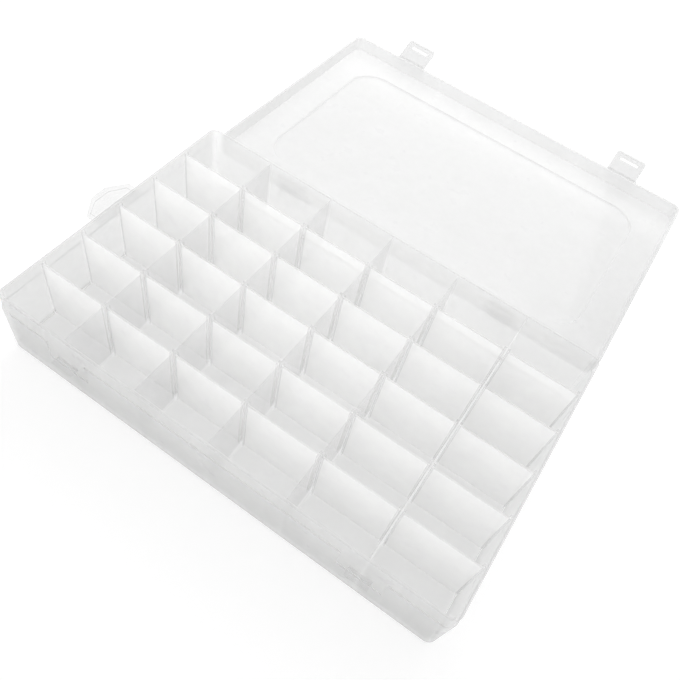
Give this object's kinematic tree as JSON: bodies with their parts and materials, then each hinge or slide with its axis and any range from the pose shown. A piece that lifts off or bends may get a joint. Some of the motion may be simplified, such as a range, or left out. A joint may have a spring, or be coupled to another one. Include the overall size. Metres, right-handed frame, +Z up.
{
  "type": "embroidery thread box",
  "caption": "Flat translucent thread box with a hinged lid, two snap latches and lift-out dividers in slotted columns",
  "frame": {"origin": "centre of the base's flat underside", "axes": "+X along the long side with the end tab at -X, +Y toward the hinge, +Z up, latches' catches at -Y"},
  "size_m": [0.2936, 0.3752, 0.0465],
  "materials": {
    "frosted_base": "natural milky polypropylene, satin with a light moulded grain",
    "frosted_lid": "natural milky polypropylene, fine grained panel",
    "frosted_divider": "natural milky polypropylene, matte faces with glossier edges"
  },
  "bodies": {
    "base": {"base": "frosted_base"},
    "lid": {"lid": "frosted_lid"},
    "latch_left": {"latch_left": "frosted_lid"},
    "latch_right": {"latch_right": "frosted_lid"},
    "divider_row1_col1": {"divider_row1_col1": "frosted_divider"},
    "divider_row1_col2": {"divider_row1_col2": "frosted_divider"},
    "divider_row1_col3": {"divider_row1_col3": "frosted_divider"},
    "divider_row1_col4": {"divider_row1_col4": "frosted_divider"},
    "divider_row1_col5": {"divider_row1_col5": "frosted_divider"},
    "divider_row1_col6": {"divider_row1_col6": "frosted_divider"},
    "divider_row2_col1": {"divider_row2_col1": "frosted_divider"},
    "divider_row2_col2": {"divider_row2_col2": "frosted_divider"},
    "divider_row2_col3": {"divider_row2_col3": "frosted_divider"},
    "divider_row2_col4": {"divider_row2_col4": "frosted_divider"},
    "divider_row2_col5": {"divider_row2_col5": "frosted_divider"},
    "divider_row2_col6": {"divider_row2_col6": "frosted_divider"},
    "divider_row3_col1": {"divider_row3_col1": "frosted_divider"},
    "divider_row3_col2": {"divider_row3_col2": "frosted_divider"},
    "divider_row3_col3": {"divider_row3_col3": "frosted_divider"},
    "divider_row3_col4": {"divider_row3_col4": "frosted_divider"},
    "divider_row3_col5": {"divider_row3_col5": "frosted_divider"},
    "divider_row3_col6": {"divider_row3_col6": "frosted_divider"},
    "divider_row4_col1": {"divider_row4_col1": "frosted_divider"},
    "divider_row4_col2": {"divider_row4_col2": "frosted_divider"},
    "divider_row4_col3": {"divider_row4_col3": "frosted_divider"},
    "divider_row4_col4": {"divider_row4_col4": "frosted_divider"},
    "divider_row4_col5": {"divider_row4_col5": "frosted_divider"},
    "divider_row4_col6": {"divider_row4_col6": "frosted_divider"},
    "divider_row5_col1": {"divider_row5_col1": "frosted_divider"},
    "divider_row5_col2": {"divider_row5_col2": "frosted_divider"},
    "divider_row5_col3": {"divider_row5_col3": "frosted_divider"},
    "divider_row5_col4": {"divider_row5_col4": "frosted_divider"},
    "divider_row5_col5": {"divider_row5_col5": "frosted_divider"},
    "divider_row5_col6": {"divider_row5_col6": "frosted_divider"}
  },
  "joints": [
    {"name": "lid_hinge", "type": "hinge", "parent": "base", "child": "lid", "pos_m": [0, 0.0896, 0.0352], "axis": [-1, 0, 0], "range_deg": [-182.17, 0]},
    {"name": "latch_left_hinge", "type": "hinge", "parent": "lid", "child": "latch_left", "pos_m": [-0.09007, 0.26918, 0.02594], "axis": [-1, 0, 0], "range_deg": [-64, 0]},
    {"name": "latch_right_hinge", "type": "hinge", "parent": "lid", "child": "latch_right", "pos_m": [0.09007, 0.26918, 0.02594], "axis": [-1, 0, 0], "range_deg": [-64, 0]},
    {"name": "divider_row1_col1_lift", "type": "slide", "parent": "base", "child": "divider_row1_col1", "axis": [0, 0, 1], "range_m": [0, 0.05]},
    {"name": "divider_row1_col2_lift", "type": "slide", "parent": "base", "child": "divider_row1_col2", "axis": [0, 0, 1], "range_m": [0, 0.05]},
    {"name": "divider_row1_col3_lift", "type": "slide", "parent": "base", "child": "divider_row1_col3", "axis": [0, 0, 1], "range_m": [0, 0.05]},
    {"name": "divider_row1_col4_lift", "type": "slide", "parent": "base", "child": "divider_row1_col4", "axis": [0, 0, 1], "range_m": [0, 0.05]},
    {"name": "divider_row1_col5_lift", "type": "slide", "parent": "base", "child": "divider_row1_col5", "axis": [0, 0, 1], "range_m": [0, 0.05]},
    {"name": "divider_row1_col6_lift", "type": "slide", "parent": "base", "child": "divider_row1_col6", "axis": [0, 0, 1], "range_m": [0, 0.05]},
    {"name": "divider_row2_col1_lift", "type": "slide", "parent": "base", "child": "divider_row2_col1", "axis": [0, 0, 1], "range_m": [0, 0.05]},
    {"name": "divider_row2_col2_lift", "type": "slide", "parent": "base", "child": "divider_row2_col2", "axis": [0, 0, 1], "range_m": [0, 0.05]},
    {"name": "divider_row2_col3_lift", "type": "slide", "parent": "base", "child": "divider_row2_col3", "axis": [0, 0, 1], "range_m": [0, 0.05]},
    {"name": "divider_row2_col4_lift", "type": "slide", "parent": "base", "child": "divider_row2_col4", "axis": [0, 0, 1], "range_m": [0, 0.05]},
    {"name": "divider_row2_col5_lift", "type": "slide", "parent": "base", "child": "divider_row2_col5", "axis": [0, 0, 1], "range_m": [0, 0.05]},
    {"name": "divider_row2_col6_lift", "type": "slide", "parent": "base", "child": "divider_row2_col6", "axis": [0, 0, 1], "range_m": [0, 0.05]},
    {"name": "divider_row3_col1_lift", "type": "slide", "parent": "base", "child": "divider_row3_col1", "axis": [0, 0, 1], "range_m": [0, 0.05]},
    {"name": "divider_row3_col2_lift", "type": "slide", "parent": "base", "child": "divider_row3_col2", "axis": [0, 0, 1], "range_m": [0, 0.05]},
    {"name": "divider_row3_col3_lift", "type": "slide", "parent": "base", "child": "divider_row3_col3", "axis": [0, 0, 1], "range_m": [0, 0.05]},
    {"name": "divider_row3_col4_lift", "type": "slide", "parent": "base", "child": "divider_row3_col4", "axis": [0, 0, 1], "range_m": [0, 0.05]},
    {"name": "divider_row3_col5_lift", "type": "slide", "parent": "base", "child": "divider_row3_col5", "axis": [0, 0, 1], "range_m": [0, 0.05]},
    {"name": "divider_row3_col6_lift", "type": "slide", "parent": "base", "child": "divider_row3_col6", "axis": [0, 0, 1], "range_m": [0, 0.05]},
    {"name": "divider_row4_col1_lift", "type": "slide", "parent": "base", "child": "divider_row4_col1", "axis": [0, 0, 1], "range_m": [0, 0.05]},
    {"name": "divider_row4_col2_lift", "type": "slide", "parent": "base", "child": "divider_row4_col2", "axis": [0, 0, 1], "range_m": [0, 0.05]},
    {"name": "divider_row4_col3_lift", "type": "slide", "parent": "base", "child": "divider_row4_col3", "axis": [0, 0, 1], "range_m": [0, 0.05]},
    {"name": "divider_row4_col4_lift", "type": "slide", "parent": "base", "child": "divider_row4_col4", "axis": [0, 0, 1], "range_m": [0, 0.05]},
    {"name": "divider_row4_col5_lift", "type": "slide", "parent": "base", "child": "divider_row4_col5", "axis": [0, 0, 1], "range_m": [0, 0.05]},
    {"name": "divider_row4_col6_lift", "type": "slide", "parent": "base", "child": "divider_row4_col6", "axis": [0, 0, 1], "range_m": [0, 0.05]},
    {"name": "divider_row5_col1_lift", "type": "slide", "parent": "base", "child": "divider_row5_col1", "axis": [0, 0, 1], "range_m": [0, 0.05]},
    {"name": "divider_row5_col2_lift", "type": "slide", "parent": "base", "child": "divider_row5_col2", "axis": [0, 0, 1], "range_m": [0, 0.05]},
    {"name": "divider_row5_col3_lift", "type": "slide", "parent": "base", "child": "divider_row5_col3", "axis": [0, 0, 1], "range_m": [0, 0.05]},
    {"name": "divider_row5_col4_lift", "type": "slide", "parent": "base", "child": "divider_row5_col4", "axis": [0, 0, 1], "range_m": [0, 0.05]},
    {"name": "divider_row5_col5_lift", "type": "slide", "parent": "base", "child": "divider_row5_col5", "axis": [0, 0, 1], "range_m": [0, 0.05]},
    {"name": "divider_row5_col6_lift", "type": "slide", "parent": "base", "child": "divider_row5_col6", "axis": [0, 0, 1], "range_m": [0, 0.05]}
  ]
}
